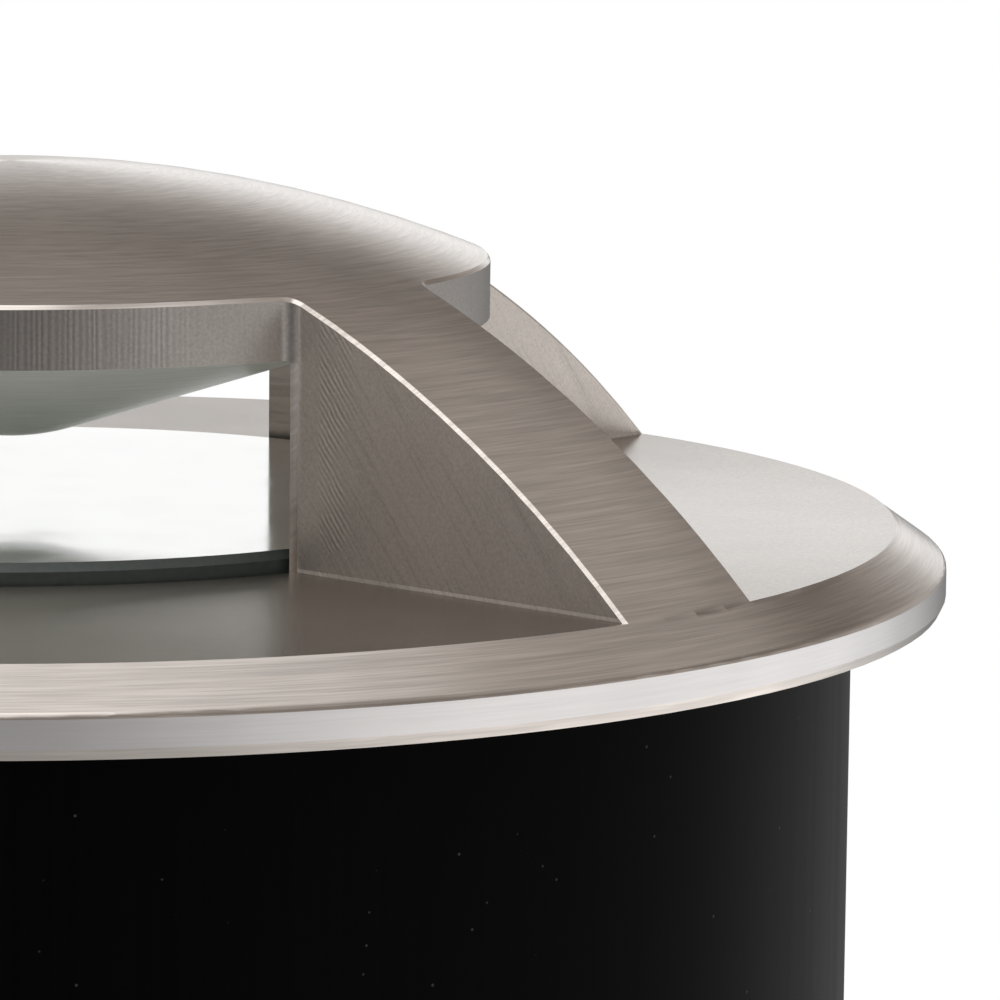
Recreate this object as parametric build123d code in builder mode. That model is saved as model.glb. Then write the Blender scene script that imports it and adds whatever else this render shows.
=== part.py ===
from build123d import *

import os
from math import acos, cos, degrees, hypot, radians, sin, tan

os.makedirs("parts", exist_ok=True)

# A round in ground well light that throws light four ways through windows under a domed
# stainless head. Millimetres, +Z up. The origin is on the axis at ground level, in the plane
# of the flange's underside, level with the rim of the buried sleeve.

# --- Driving dimensions ------------------------------------------------------------------

# Stainless head: flange, bevel, dome, legs and the canopy over the glass
flange_overhang = 4.7
flange_edge = 2.0
flange_break = 0.5
flange_round = 0.35
bevel_width = 2.5
bevel_rise = 1.75
crease_r = 4.0
floor_step = 0.05
window_h = 10.1
crown_t = 7.6
canopy_inset = 0.15
leg_count = 4
leg_w = 9.0
leg_break = 0.15
cutter_r = 0.8
spigot_gap = 0.7
rebate_h = 0.3

# Deflector cone under the canopy
cone_inset = 3.65
cone_slope = 17.9
cone_nose_r = 11.0
cone_rim = 0.2
cone_stud_r = 2.0
cone_stud_l = 4.0

# Stepped glass, its silicone gasket, and the ring that clamps it from below
glass_r = 23.9
glass_t = 9.8
glass_proud = 1.0
glass_lip = 3.1
glass_lip_t = 3.5
glass_edge = 0.4
gasket_t = 1.0
collar_w = 0.4
collar_drop = 0.5
pad_t = 0.5
pad_w = 4.5
clamp_t = 2.5
clamp_lap = 3.4
clamp_rim = 2.1
clamp_screw_count = 6
clamp_thread_l = 4.0
clamp_screw_wall = 1.3
clamp_head_gap = 1.6

# Round-section seals and the lands beside their grooves
face_ring_r = 0.8
face_ring_land = 0.8
base_ring_land = 0.6
ring_to_screw = 0.8
grip_ring_r = 1.25
grip_ring_gap = 0.3
grip_land = 1.75

# Lamp body: finned casting with a deck between the light chamber and the driver chamber
body_flange_t = 4.0
body_screw_count = 4
body_screw_rim = 3.0
body_thread_land = 0.85
chamber_extra = 0.6
body_wall = 3.0
deck_t = 4.0
deck_thread_l = 3.0
base_rim_t = 6.0
base_rim_land = 2.7
fin_count = 24
fin_t = 1.6
fin_inset = 1.5
fin_foot = 4.0

# LED module on the deck
thermal_pad_t = 0.5
led_board_t = 1.6
led_board_rim = 0.2
led_chip_side = 13.5
led_chip_t = 1.4
led_spot_r = 4.5
led_spot_h = 0.3
lens_inset = 6.5
lens_foot_r = 7.2
lens_pocket_r = 5.2
lens_pocket_h = 4.5
lens_h = 12.0
lens_rim_w = 1.0
lens_rim_t = 1.2
lens_clear = 0.2
holder_wall = 0.95
ear_count = 3
ear_w = 6.0
ear_t = 1.5
ear_head_gap = 0.25

# Leads through the deck
lead_r = 0.5
lead_spread = 1.2
lead_bend = 1.5
lead_rise = 2.5
lead_reach = 3.6
grommet_hole_r = 2.5
grommet_lip = 0.5
grommet_lip_t = 0.8
grommet_edge = 0.4
lead_slot_edge = 0.8
lead_slot_back = 0.1

# Driver board hanging under the deck
standoff_h = 8.0
standoff_across = 5.0
standoff_count = 4
standoff_edge = 3.5
driver_board_edge = 2.0
driver_board_t = 1.6
driver_screw_l = 6.0
driver_clear = 3.4
inductor_r = 5.0
inductor_h = 7.0
inductor_x = 12.0
capacitor_r = 4.0
capacitor_h = 9.0
capacitor_y = 13.0
chip_l = 6.0
chip_w = 4.0
chip_h = 1.6
chip_pitch = 9.0
terminal_l = 10.0
terminal_w = 8.0
terminal_h = 8.5
terminal_x = -14.0
terminal_pitch = 5.0

# Base cap with its cable gland and breather
cap_t = 4.0
cap_plug_h = 3.0
cap_screw_count = 4
cable_r = 3.5
gland_bore_gap = 0.5
gland_wall = 2.0
gland_neck_step = 0.6
gland_neck_wall = 1.2
gland_flat_t = 1.9
gland_hex_t = 4.0
gland_neck_h = 7.0
gland_washer_t = 1.0
gland_seal_in = 6.0
gland_squeeze = 3.0
gland_nut_gap = 1.0
gland_lip = 2.0
vent_inset = 8.0
vent_thread_r = 3.0
vent_head_r = 5.0
vent_head_t = 3.0
vent_slot_w = 1.0

# Buried sleeve
sleeve_wall = 2.0
sleeve_depth = 100.0
sleeve_floor = 3.0
sleeve_break = 1.0
drain_r = 15.0
weep_count = 8
weep_r = 3.5
entry_r = 10.0
entry_up = 16.0

# Socket head screws in three sizes, and the clearances round threads, shanks and seats
m2_thread_r = 1.0
m2_head_r = 1.75
m2_head_h = 1.4
m2_key_w = 1.3
m25_thread_r = 1.25
m25_head_r = 2.2
m25_head_h = 1.6
m25_key_w = 1.5
m3_thread_r = 1.5
m3_head_r = 2.6
m3_head_h = 3.0
m3_key_w = 2.5
thread_gap = 0.05
pass_gap = 0.15
seat_gap = 0.2

# --- Radii worked out from the glass to the flange ----------------------------------------

m2 = (m2_thread_r, m2_head_r, m2_head_h, m2_key_w)
m25 = (m25_thread_r, m25_head_r, m25_head_h, m25_key_w)
m3 = (m3_thread_r, m3_head_r, m3_head_h, m3_key_w)

cavity_r = glass_r + collar_w
canopy_r = cavity_r - canopy_inset
cone_r = canopy_r - cone_inset
glass_lip_r = cavity_r + glass_lip
glass_pocket_r = glass_lip_r + seat_gap
clamp_window_r = glass_r - clamp_lap
clamp_circle_r = glass_pocket_r + clamp_screw_wall + m2_thread_r
clamp_r = clamp_circle_r + clamp_rim
clamp_pocket_r = clamp_r + seat_gap
face_circle_r = clamp_pocket_r + face_ring_land + face_ring_r
body_circle_r = face_circle_r + face_ring_r + ring_to_screw + m3_thread_r
spigot_r = body_circle_r + body_screw_rim
sleeve_bore_r = spigot_r + spigot_gap
sleeve_r = sleeve_bore_r + sleeve_wall
flange_r = sleeve_r + flange_overhang
bevel_in_r = flange_r - bevel_width
grip_circle_r = sleeve_bore_r - grip_ring_gap - grip_ring_r
chamber_r = glass_lip_r + chamber_extra
body_wall_r = chamber_r + body_wall
base_circle_r = chamber_r + base_ring_land + face_ring_r
cap_circle_r = base_circle_r + face_ring_r + ring_to_screw + m3_thread_r
base_rim_r = cap_circle_r + base_rim_land
fin_r = spigot_r - fin_inset
lens_r = glass_r - lens_inset
lens_rim_r = lens_r + lens_rim_w
holder_bore_r = lens_r + seat_gap
holder_r = lens_rim_r + seat_gap + holder_wall
ear_circle_r = holder_r + m25_head_r + ear_head_gap
led_board_r = ear_circle_r + ear_w / 2 + led_board_rim
grommet_lip_r = grommet_hole_r + grommet_lip
lead_x = grommet_lip_r + grommet_edge - chamber_r
lead_slot_x = lead_x + grommet_lip_r + lead_slot_back
driver_board_r = chamber_r - driver_board_edge
standoff_circle_r = driver_board_r - standoff_edge
gland_bore_r = cable_r + gland_bore_gap
gland_thread_r = gland_bore_r + gland_wall
gland_neck_r = gland_thread_r + gland_neck_step
gland_seal_r = gland_neck_r - gland_neck_wall
gland_flat_r = gland_neck_r + gland_flat_t
vent_x = chamber_r - vent_inset
plug_r = chamber_r - seat_gap
weep_circle_r = (drain_r + sleeve_bore_r) / 2

# --- Heights worked out from the ground up, then from the glass down ----------------------

bevel_top = flange_edge + bevel_rise
window_floor = bevel_top + floor_step
canopy_under = window_floor + window_h
dome_apex = canopy_under + crown_t
dome_h = dome_apex - bevel_top
dome_r = (bevel_in_r**2 + dome_h**2) / (2 * dome_h)
dome_centre = dome_apex - dome_r
glass_top = window_floor + glass_proud
glass_bottom = glass_top - glass_t
glass_step = glass_bottom + glass_lip_t
glass_seat = glass_step + gasket_t
clamp_seat = glass_bottom - pad_t
clamp_under = clamp_seat - clamp_t
body_top = clamp_under - m2_head_h - clamp_head_gap
flange_under = body_top - body_flange_t
grip_half = grip_ring_r + seat_gap
grip_ring_z = -grip_land - grip_half
body_thread_top = grip_ring_z - grip_half - body_thread_land
module_h = thermal_pad_t + led_board_t + led_chip_t + led_spot_h + lens_h
deck_top = body_top - lens_clear - module_h
deck_under = deck_top - deck_t
thermal_pad_top = deck_top + thermal_pad_t
led_board_top = thermal_pad_top + led_board_t
led_chip_top = led_board_top + led_chip_t
lens_under = led_chip_top + led_spot_h
lens_top = lens_under + lens_h
lens_rim_under = lens_top - lens_rim_t
ear_top = led_board_top + ear_t
driver_board_top = deck_under - standoff_h
driver_board_under = driver_board_top - driver_board_t
body_base = driver_board_under - capacitor_h - driver_clear - cap_plug_h
base_rim_top = body_base + base_rim_t
cap_under = body_base - cap_t
gland_hex_top = cap_under - gland_washer_t
gland_hex_under = gland_hex_top - gland_hex_t
gland_neck_under = gland_hex_under - gland_neck_h
gland_nut_top = gland_hex_under - gland_nut_gap
gland_lip_top = gland_neck_under - gland_squeeze
gland_nut_under = gland_lip_top - gland_lip
gland_seal_top = gland_neck_under + gland_seal_in
vent_under = cap_under - vent_head_t
sleeve_base = -sleeve_depth
sleeve_floor_top = sleeve_base + sleeve_floor

# --- Places of what repeats round the axis ------------------------------------------------

quarter_turn = 90.0
half_turn = 180.0
leg_turn = 360.0 / leg_count
fin_turn = 360.0 / fin_count
centre_spot = Locations((0, 0))
clamp_spots = PolarLocations(clamp_circle_r, clamp_screw_count, start_angle=leg_turn / 2)
body_spots = PolarLocations(body_circle_r, body_screw_count, start_angle=leg_turn / 2)
cap_spots = PolarLocations(cap_circle_r, cap_screw_count)
ear_spots = PolarLocations(ear_circle_r, ear_count)
standoff_spots = PolarLocations(standoff_circle_r, standoff_count, start_angle=leg_turn / 2)
weep_spots = PolarLocations(weep_circle_r, weep_count)
lead_spot = Locations((lead_x, 0))
vent_spot = Locations((vent_x, 0))


def turned(*points, mode=Mode.ADD):
    """Turns the closed outline through (radius, height) points about the Z axis."""
    with BuildSketch(Plane.XZ, mode=Mode.PRIVATE) as outline:
        Polygon(*points, align=None)
    revolve(outline.sketch, axis=Axis.Z, mode=mode)


def washer(inner, outer, low, high, mode=Mode.ADD):
    """A plain ring about the Z axis between two radii and two heights."""
    turned((inner, low), (outer, low), (outer, high), (inner, high), mode=mode)


def round_ring(centre_r, height, section_r):
    """A seal of round section about the Z axis."""
    with BuildSketch(Plane.XZ, mode=Mode.PRIVATE) as section:
        with Locations((centre_r, height)):
            Circle(section_r)
    revolve(section.sketch, axis=Axis.Z)


def groove(centre_r, mouth):
    """Cuts a square face groove below the height of its mouth, as deep as its seal is thick."""
    half = face_ring_r + thread_gap
    washer(centre_r - half, centre_r + half, mouth - 2 * face_ring_r, mouth, mode=Mode.SUBTRACT)


def bored(radius, low, high, spots, mode=Mode.SUBTRACT):
    """Upright round holes, or posts, between two heights at each of the spots."""
    with BuildSketch(Plane.XY.offset(low), mode=Mode.PRIVATE) as rounds:
        with spots:
            Circle(radius)
    extrude(rounds.sketch, amount=high - low, mode=mode)


def screws(size, seat, length, spots, head_up=False):
    """Socket head screws whose heads bear on the height seat, their threads running away."""
    thread_r, head_r, head_h, key = size
    side = 1 if head_up else -1
    bored(thread_r, *sorted((seat - side * length, seat)), spots, mode=Mode.ADD)
    bored(head_r, *sorted((seat, seat + side * head_h)), spots, mode=Mode.ADD)
    with BuildSketch(Plane.XY.offset(seat + side * head_h), mode=Mode.PRIVATE) as keys:
        with spots:
            RegularPolygon(key / 2, 6, major_radius=False)
    extrude(keys.sketch, amount=-side * head_h / 2, mode=Mode.SUBTRACT)


def save(piece, name):
    """Labels a finished piece and writes it as one file."""
    piece.part.label = name
    export_step(piece.part, f"parts/{name}.step")


# --- Stainless head ----------------------------------------------------------------------

with BuildPart() as cover:
    # Solid of revolution: flange, bevel and dome above, spigot below
    with BuildSketch(Plane.XZ):
        with BuildLine():
            dome_foot = degrees(acos(bevel_in_r / dome_r))
            CenterArc((0, dome_centre), dome_r, dome_foot, quarter_turn - dome_foot)
            Polyline(
                (0, dome_apex),
                (0, body_top),
                (spigot_r, body_top),
                (spigot_r, 0),
                (flange_r - flange_break / 2, 0),
                (flange_r, flange_break),
                (flange_r, flange_edge),
                (bevel_in_r, bevel_top),
            )
        make_face()
    revolve(axis=Axis.Z)
    rings = cover.edges().filter_by(GeomType.CIRCLE)
    rim = rings.filter_by(lambda e: abs(e.radius - flange_r) < pass_gap).sort_by(Axis.Z)[-1]
    fillet(rim, flange_round)
    rings = cover.edges().filter_by(GeomType.CIRCLE)
    fillet(rings.filter_by(lambda e: abs(e.radius - bevel_in_r) < pass_gap), crease_r)

    # Windows: between the legs, all that stands outside the canopy is milled to the floor
    with BuildSketch(Plane.XY.offset(window_floor)) as pockets:
        Circle(flange_r)
        Circle(canopy_r, mode=Mode.SUBTRACT)
        with PolarLocations(0, leg_count // 2, start_angle=leg_turn / 2, angular_range=half_turn):
            Rectangle(2 * flange_r, leg_w, mode=Mode.SUBTRACT)
        corners = pockets.vertices().filter_by(lambda v: abs(hypot(v.X, v.Y) - canopy_r) < pass_gap)
        fillet(corners, cutter_r)
    extrude(amount=dome_apex, mode=Mode.SUBTRACT)

    # The sharp edges that the cutter left along the dome are broken, down to each leg's foot
    foot_top = window_floor + window_h / 4
    cut_edges = (
        cover.faces()
        .filter_by(GeomType.SPHERE)
        .edges()
        .filter_by(lambda e: (e @ 0.5).Z > foot_top)
        .filter_by(lambda e: hypot((e @ 0.5).X, (e @ 0.5).Y) > canopy_r - pass_gap)
    )
    chamfer(cut_edges, leg_break)

    # Rebate clear of the sleeve's rim, so that the flange around it lies flat on the ground
    washer(spigot_r, sleeve_r + seat_gap, 0, rebate_h, mode=Mode.SUBTRACT)
    # Cavity under the canopy, glass pocket, clamp ring pocket, seal groove, tapped holes
    washer(0, cavity_r, glass_seat, canopy_under, mode=Mode.SUBTRACT)
    washer(0, glass_pocket_r, clamp_seat, glass_seat, mode=Mode.SUBTRACT)
    washer(0, clamp_pocket_r, body_top, clamp_seat, mode=Mode.SUBTRACT)
    washer(
        grip_circle_r - grip_ring_r,
        sleeve_r,
        grip_ring_z - grip_half,
        grip_ring_z + grip_half,
        mode=Mode.SUBTRACT,
    )
    bored(m2_thread_r + thread_gap, clamp_seat, clamp_seat + clamp_thread_l, clamp_spots)
    bored(m3_thread_r + thread_gap, body_top, body_thread_top, body_spots)
    bored(cone_stud_r + thread_gap, canopy_under, canopy_under + cone_stud_l, centre_spot)
save(cover, "cover")

# --- Deflector cone ----------------------------------------------------------------------

# The blunt nose is a ball that the cone's flank touches
slope = radians(cone_slope)
cone_edge = canopy_under - cone_rim
nose_centre = cone_edge - cone_r * tan(slope) + cone_nose_r / cos(slope)
nose_tip = nose_centre - cone_nose_r

with BuildPart() as deflector_cone:
    with BuildSketch(Plane.XZ):
        with BuildLine():
            CenterArc((0, nose_centre), cone_nose_r, -quarter_turn, cone_slope)
            Polyline(
                (cone_nose_r * sin(slope), nose_centre - cone_nose_r * cos(slope)),
                (cone_r, cone_edge),
                (cone_r, canopy_under),
                (0, canopy_under),
                (0, nose_tip),
            )
        make_face()
    revolve(axis=Axis.Z)
    bored(cone_stud_r, canopy_under, canopy_under + cone_stud_l - seat_gap, centre_spot, Mode.ADD)
save(deflector_cone, "deflector_cone")

# --- Glass and what holds it -------------------------------------------------------------

with BuildPart() as glass_lens:
    turned(
        (0, glass_bottom),
        (glass_lip_r - glass_edge, glass_bottom),
        (glass_lip_r, glass_bottom + glass_edge),
        (glass_lip_r, glass_step),
        (glass_r, glass_step),
        (glass_r, glass_top - glass_edge),
        (glass_r - glass_edge, glass_top),
        (0, glass_top),
    )
save(glass_lens, "glass_lens")

with BuildPart() as glass_gasket:
    turned(
        (glass_r, glass_step),
        (glass_lip_r, glass_step),
        (glass_lip_r, glass_seat),
        (cavity_r, glass_seat),
        (cavity_r, window_floor - collar_drop),
        (glass_r, window_floor - collar_drop),
    )
save(glass_gasket, "glass_gasket")

with BuildPart() as glass_pad_ring:
    washer(glass_lip_r - glass_edge - pad_w, glass_lip_r - glass_edge, clamp_seat, glass_bottom)
save(glass_pad_ring, "glass_pad_ring")

with BuildPart() as glass_clamp_ring:
    washer(clamp_window_r, clamp_r, clamp_under, clamp_seat)
    bored(m2_thread_r + pass_gap, clamp_under, clamp_seat, clamp_spots)
save(glass_clamp_ring, "glass_clamp_ring")

with BuildPart() as clamp_ring_screws:
    screws(m2, clamp_under, clamp_t + clamp_thread_l - seat_gap, clamp_spots)
save(clamp_ring_screws, "clamp_ring_screws")

# --- Lamp body and the seals above it ----------------------------------------------------

with BuildPart() as lamp_body:
    washer(0, body_wall_r, body_base, body_top)
    washer(0, spigot_r, flange_under, body_top)
    washer(0, base_rim_r, body_base, base_rim_top)
    # Cooling fins run from the top flange to the base rim, cut back at the foot
    with BuildSketch(Plane.XZ, mode=Mode.PRIVATE) as fin_side:
        Polygon(
            (body_wall_r - seat_gap, base_rim_top - seat_gap),
            (base_rim_r, base_rim_top - seat_gap),
            (fin_r, base_rim_top + fin_foot),
            (fin_r, flange_under + seat_gap),
            (body_wall_r - seat_gap, flange_under + seat_gap),
            align=None,
        )
    fin = extrude(fin_side.sketch, amount=fin_t / 2, both=True, mode=Mode.PRIVATE)
    with PolarLocations(0, fin_count, start_angle=fin_turn / 2):
        add(fin)
    washer(0, chamber_r, deck_top, body_top, mode=Mode.SUBTRACT)
    washer(0, chamber_r, body_base, deck_under, mode=Mode.SUBTRACT)
    groove(face_circle_r, body_top)
    bored(m3_thread_r + pass_gap, flange_under, body_top, body_spots)
    bored(m25_thread_r + thread_gap, deck_top - deck_thread_l, deck_top, ear_spots)
    bored(m25_thread_r + thread_gap, deck_under, deck_under + deck_thread_l, standoff_spots)
    bored(m3_thread_r + thread_gap, body_base, base_rim_top, cap_spots)
    bored(grommet_hole_r, deck_under, deck_top, lead_spot)
save(lamp_body, "lamp_body")

with BuildPart() as cover_screws:
    screws(m3, flange_under, body_thread_top - seat_gap - flange_under, body_spots)
save(cover_screws, "cover_screws")

with BuildPart() as body_seal_ring:
    round_ring(face_circle_r, body_top - face_ring_r, face_ring_r)
save(body_seal_ring, "body_seal_ring")

with BuildPart() as sleeve_grip_ring:
    round_ring(grip_circle_r, grip_ring_z, grip_ring_r)
save(sleeve_grip_ring, "sleeve_grip_ring")

# --- LED module on the deck --------------------------------------------------------------


def slotted_disc(low, high):
    """A disc for the light chamber, with its screw holes and the side slot for the leads."""
    washer(0, led_board_r, low, high)
    bored(m25_thread_r + pass_gap, low, high, ear_spots)
    with BuildSketch(Plane.XY.offset(low), mode=Mode.PRIVATE) as slot:
        with Locations((lead_slot_x - led_board_r / 2, 0)):
            Rectangle(led_board_r, 2 * (grommet_lip_r + lead_slot_edge))
    extrude(slot.sketch, amount=high - low, mode=Mode.SUBTRACT)


with BuildPart() as thermal_pad:
    slotted_disc(deck_top, thermal_pad_top)
save(thermal_pad, "thermal_pad")

with BuildPart() as led_board:
    slotted_disc(thermal_pad_top, led_board_top)
save(led_board, "led_board")

with BuildPart() as led_chip:
    with BuildSketch(Plane.XY.offset(led_board_top)):
        Rectangle(led_chip_side, led_chip_side)
    extrude(amount=led_chip_t)
    washer(0, led_spot_r, led_chip_top, lens_under)
save(led_chip, "led_chip")

with BuildPart() as collimator_lens:
    turned(
        (0, lens_under + lens_pocket_h),
        (lens_pocket_r, lens_under + lens_pocket_h),
        (lens_pocket_r, lens_under),
        (lens_foot_r, lens_under),
        (lens_r, lens_rim_under),
        (lens_rim_r, lens_rim_under),
        (lens_rim_r, lens_top),
        (0, lens_top),
    )
save(collimator_lens, "collimator_lens")

with BuildPart() as lens_holder:
    washer(holder_bore_r, holder_r, led_board_top, lens_rim_under)
    washer(lens_rim_r + seat_gap, holder_r, lens_rim_under, lens_top)
    # Feet for the fixing screws stand out of the tube
    with BuildSketch(Plane.XY.offset(led_board_top)):
        with PolarLocations(ear_circle_r / 2, ear_count):
            Rectangle(ear_circle_r, ear_w)
        with ear_spots:
            Circle(ear_w / 2)
        Circle(holder_bore_r, mode=Mode.SUBTRACT)
    extrude(amount=ear_t)
    bored(m25_thread_r + pass_gap, led_board_top, ear_top, ear_spots)
save(lens_holder, "lens_holder")

with BuildPart() as holder_screws:
    screws(m25, ear_top, ear_top - deck_top + deck_thread_l - seat_gap, ear_spots, head_up=True)
save(holder_screws, "holder_screws")

# --- Leads through the deck --------------------------------------------------------------

grommet_top = deck_top + grommet_lip_t
grommet_under = deck_under - grommet_lip_t

with BuildPart() as lead_grommet:
    bored(grommet_lip_r, deck_top, grommet_top, lead_spot, Mode.ADD)
    bored(grommet_hole_r, deck_under, deck_top, lead_spot, Mode.ADD)
    bored(grommet_lip_r, grommet_under, deck_under, lead_spot, Mode.ADD)
    lead_pair = Locations((lead_x, lead_spread), (lead_x, -lead_spread))
    bored(lead_r + thread_gap, grommet_under, grommet_top, lead_pair)
save(lead_grommet, "lead_grommet")

for lead_name, lead_y in (("led_lead_positive", lead_spread), ("led_lead_negative", -lead_spread)):
    with BuildPart() as lead:
        with BuildLine() as lead_route:
            FilletPolyline(
                (lead_x, lead_y, driver_board_top),
                (lead_x, lead_y, led_board_top + lead_rise),
                (lead_x + lead_reach, lead_y, led_board_top + lead_rise),
                (lead_x + lead_reach, lead_y, led_board_top),
                radius=lead_bend,
            )
        with BuildSketch(Plane.XY.offset(driver_board_top)):
            with Locations((lead_x, lead_y)):
                Circle(lead_r)
        sweep(path=lead_route.line)
    save(lead, lead_name)

# --- Driver board ------------------------------------------------------------------------

with BuildPart() as driver_standoffs:
    with BuildSketch(Plane.XY.offset(driver_board_top)):
        with standoff_spots:
            RegularPolygon(standoff_across / 2, 6, major_radius=False)
    extrude(amount=standoff_h)
    stud_top = deck_under + deck_thread_l - seat_gap
    bored(m25_thread_r, deck_under, stud_top, standoff_spots, Mode.ADD)
    bored(m25_thread_r + thread_gap, driver_board_top, driver_board_top + driver_screw_l, standoff_spots)
save(driver_standoffs, "driver_standoffs")

with BuildPart() as driver_board:
    washer(0, driver_board_r, driver_board_under, driver_board_top)
    bored(m25_thread_r + pass_gap, driver_board_under, driver_board_top, standoff_spots)
save(driver_board, "driver_board")

with BuildPart() as driver_screws:
    screws(m25, driver_board_under, driver_screw_l, standoff_spots)
save(driver_screws, "driver_screws")

with BuildPart() as driver_inductor:
    inductor_spot = Locations((inductor_x, 0))
    inductor_under = driver_board_under - inductor_h
    bored(inductor_r, inductor_under, driver_board_under, inductor_spot, Mode.ADD)
    chamfer(driver_inductor.faces().sort_by(Axis.Z)[0].edges(), seat_gap)
save(driver_inductor, "driver_inductor")

with BuildPart() as driver_capacitors:
    can_spots = Locations((0, capacitor_y), (0, -capacitor_y))
    can_under = driver_board_under - capacitor_h
    bored(capacitor_r, can_under, driver_board_under, can_spots, Mode.ADD)
    fillet(driver_capacitors.faces().group_by(Axis.Z)[0].edges(), seat_gap)
save(driver_capacitors, "driver_capacitors")

with BuildPart() as driver_chips:
    with BuildSketch(Plane.XY.offset(driver_board_top)):
        with GridLocations(chip_pitch, chip_pitch, 2, 2):
            Rectangle(chip_l, chip_w)
    extrude(amount=chip_h)
save(driver_chips, "driver_chips")

with BuildPart() as supply_terminal:
    terminal_under = driver_board_under - terminal_h
    with BuildSketch(Plane.XY.offset(terminal_under)):
        with Locations((terminal_x, 0)):
            Rectangle(terminal_w, terminal_l)
    extrude(amount=terminal_h)
    # The screw wells face the base cap
    wells = Locations((terminal_x, terminal_pitch / 2), (terminal_x, -terminal_pitch / 2))
    bored(terminal_pitch / 3, terminal_under, terminal_under + terminal_h / 2, wells)
save(supply_terminal, "supply_terminal")

# --- Base cap with cable gland and breather ----------------------------------------------

with BuildPart() as base_cap:
    washer(0, base_rim_r, cap_under, body_base)
    washer(plug_r - body_wall, plug_r, body_base, body_base + cap_plug_h)
    groove(base_circle_r, body_base)
    bored(m3_thread_r + pass_gap, cap_under, body_base, cap_spots)
    bored(gland_thread_r + thread_gap, cap_under, body_base, centre_spot)
    bored(vent_thread_r + thread_gap, cap_under, body_base, vent_spot)
    chamfer(base_cap.faces().sort_by(Axis.Z)[0].outer_wire().edges(), flange_break)
save(base_cap, "base_cap")

with BuildPart() as base_seal_ring:
    round_ring(base_circle_r, body_base - face_ring_r, face_ring_r)
save(base_seal_ring, "base_seal_ring")

with BuildPart() as base_screws:
    screws(m3, cap_under, cap_t + base_rim_t - seat_gap, cap_spots)
save(base_screws, "base_screws")

with BuildPart() as gland_washer:
    washer(gland_thread_r + thread_gap, gland_flat_r, gland_hex_top, cap_under)
save(gland_washer, "gland_washer")

with BuildPart() as gland_body:
    bored(gland_thread_r, gland_hex_top, body_base, centre_spot, Mode.ADD)
    with BuildSketch(Plane.XY.offset(gland_hex_under)):
        RegularPolygon(gland_flat_r, 6, major_radius=False)
    extrude(amount=gland_hex_t)
    bored(gland_neck_r, gland_neck_under, gland_hex_under, centre_spot, Mode.ADD)
    bored(gland_bore_r, gland_neck_under, body_base, centre_spot)
    bored(gland_seal_r + thread_gap, gland_neck_under, gland_seal_top, centre_spot)
save(gland_body, "gland_body")

with BuildPart() as gland_seal:
    washer(cable_r, gland_seal_r, gland_lip_top, gland_seal_top)
save(gland_seal, "gland_seal")

with BuildPart() as gland_nut:
    with BuildSketch(Plane.XY.offset(gland_nut_under)):
        RegularPolygon(gland_flat_r, 6, major_radius=False)
    extrude(amount=gland_nut_top - gland_nut_under)
    bored(gland_neck_r + thread_gap, gland_lip_top, gland_nut_top, centre_spot)
    bored(gland_bore_r, gland_nut_under, gland_lip_top, centre_spot)
    chamfer(gland_nut.faces().sort_by(Axis.Z)[0].outer_wire().edges(), flange_break)
save(gland_nut, "gland_nut")

with BuildPart() as vent_plug:
    bored(vent_thread_r, cap_under, body_base, vent_spot, Mode.ADD)
    bored(vent_head_r, vent_under, cap_under, vent_spot, Mode.ADD)
    chamfer(vent_plug.faces().sort_by(Axis.Z)[0].edges(), flange_break)
    with BuildSketch(Plane.XY.offset(vent_under)):
        with vent_spot:
            Rectangle(2 * vent_head_r, vent_slot_w)
    extrude(amount=vent_slot_w, mode=Mode.SUBTRACT)
save(vent_plug, "vent_plug")

# --- Buried sleeve -----------------------------------------------------------------------

with BuildPart() as ground_sleeve:
    washer(0, sleeve_r, sleeve_base, 0)
    chamfer(ground_sleeve.faces().sort_by(Axis.Z)[0].edges(), sleeve_break)
    washer(0, sleeve_bore_r, sleeve_floor_top, 0, mode=Mode.SUBTRACT)
    bored(drain_r, sleeve_base, sleeve_floor_top, centre_spot)
    bored(weep_r, sleeve_base, sleeve_floor_top, weep_spots)
    # Cable entries through the wall, on opposite sides
    with BuildSketch(Plane.YZ):
        with Locations((0, sleeve_base + entry_up)):
            Circle(entry_r)
    extrude(amount=sleeve_r, both=True, mode=Mode.SUBTRACT)
save(ground_sleeve, "ground_sleeve")
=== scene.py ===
from functools import partial
from math import cos, pi, radians, sin, sqrt

import bpy
from mathutils import Matrix, Vector

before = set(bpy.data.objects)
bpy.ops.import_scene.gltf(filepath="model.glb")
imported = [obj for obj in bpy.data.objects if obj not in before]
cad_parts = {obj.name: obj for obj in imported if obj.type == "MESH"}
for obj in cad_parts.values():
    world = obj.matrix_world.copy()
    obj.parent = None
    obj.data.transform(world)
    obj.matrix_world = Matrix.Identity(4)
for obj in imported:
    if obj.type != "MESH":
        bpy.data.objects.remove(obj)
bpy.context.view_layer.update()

# --- Cover --------------------------------------------------------------------------------
# The head is turned from one stainless bar, and its fine lathe marks run round the axis. Its
# windows are milled out of it, so the floors are duller, the canopy's edge has upright cutter
# marks and the sides of the legs have slanting ones. The arrises are broken with a file.

MM = 0.001
window_floor = 3.8
canopy_edge_r = 24.6
canopy_under = 13.8
flange_wall_r = 46.0
flange_top = 3.0
leg_half = 4.6
diagonal = 1 / sqrt(2)


def linear(code):
    """Turns an sRGB hex colour into the linear colour that a shader socket takes."""
    channels = [int(code[i : i + 2], 16) / 255 for i in (1, 3, 5)]
    return (*[c / 12.92 if c <= 0.04045 else ((c + 0.055) / 1.055) ** 2.4 for c in channels], 1.0)


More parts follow.
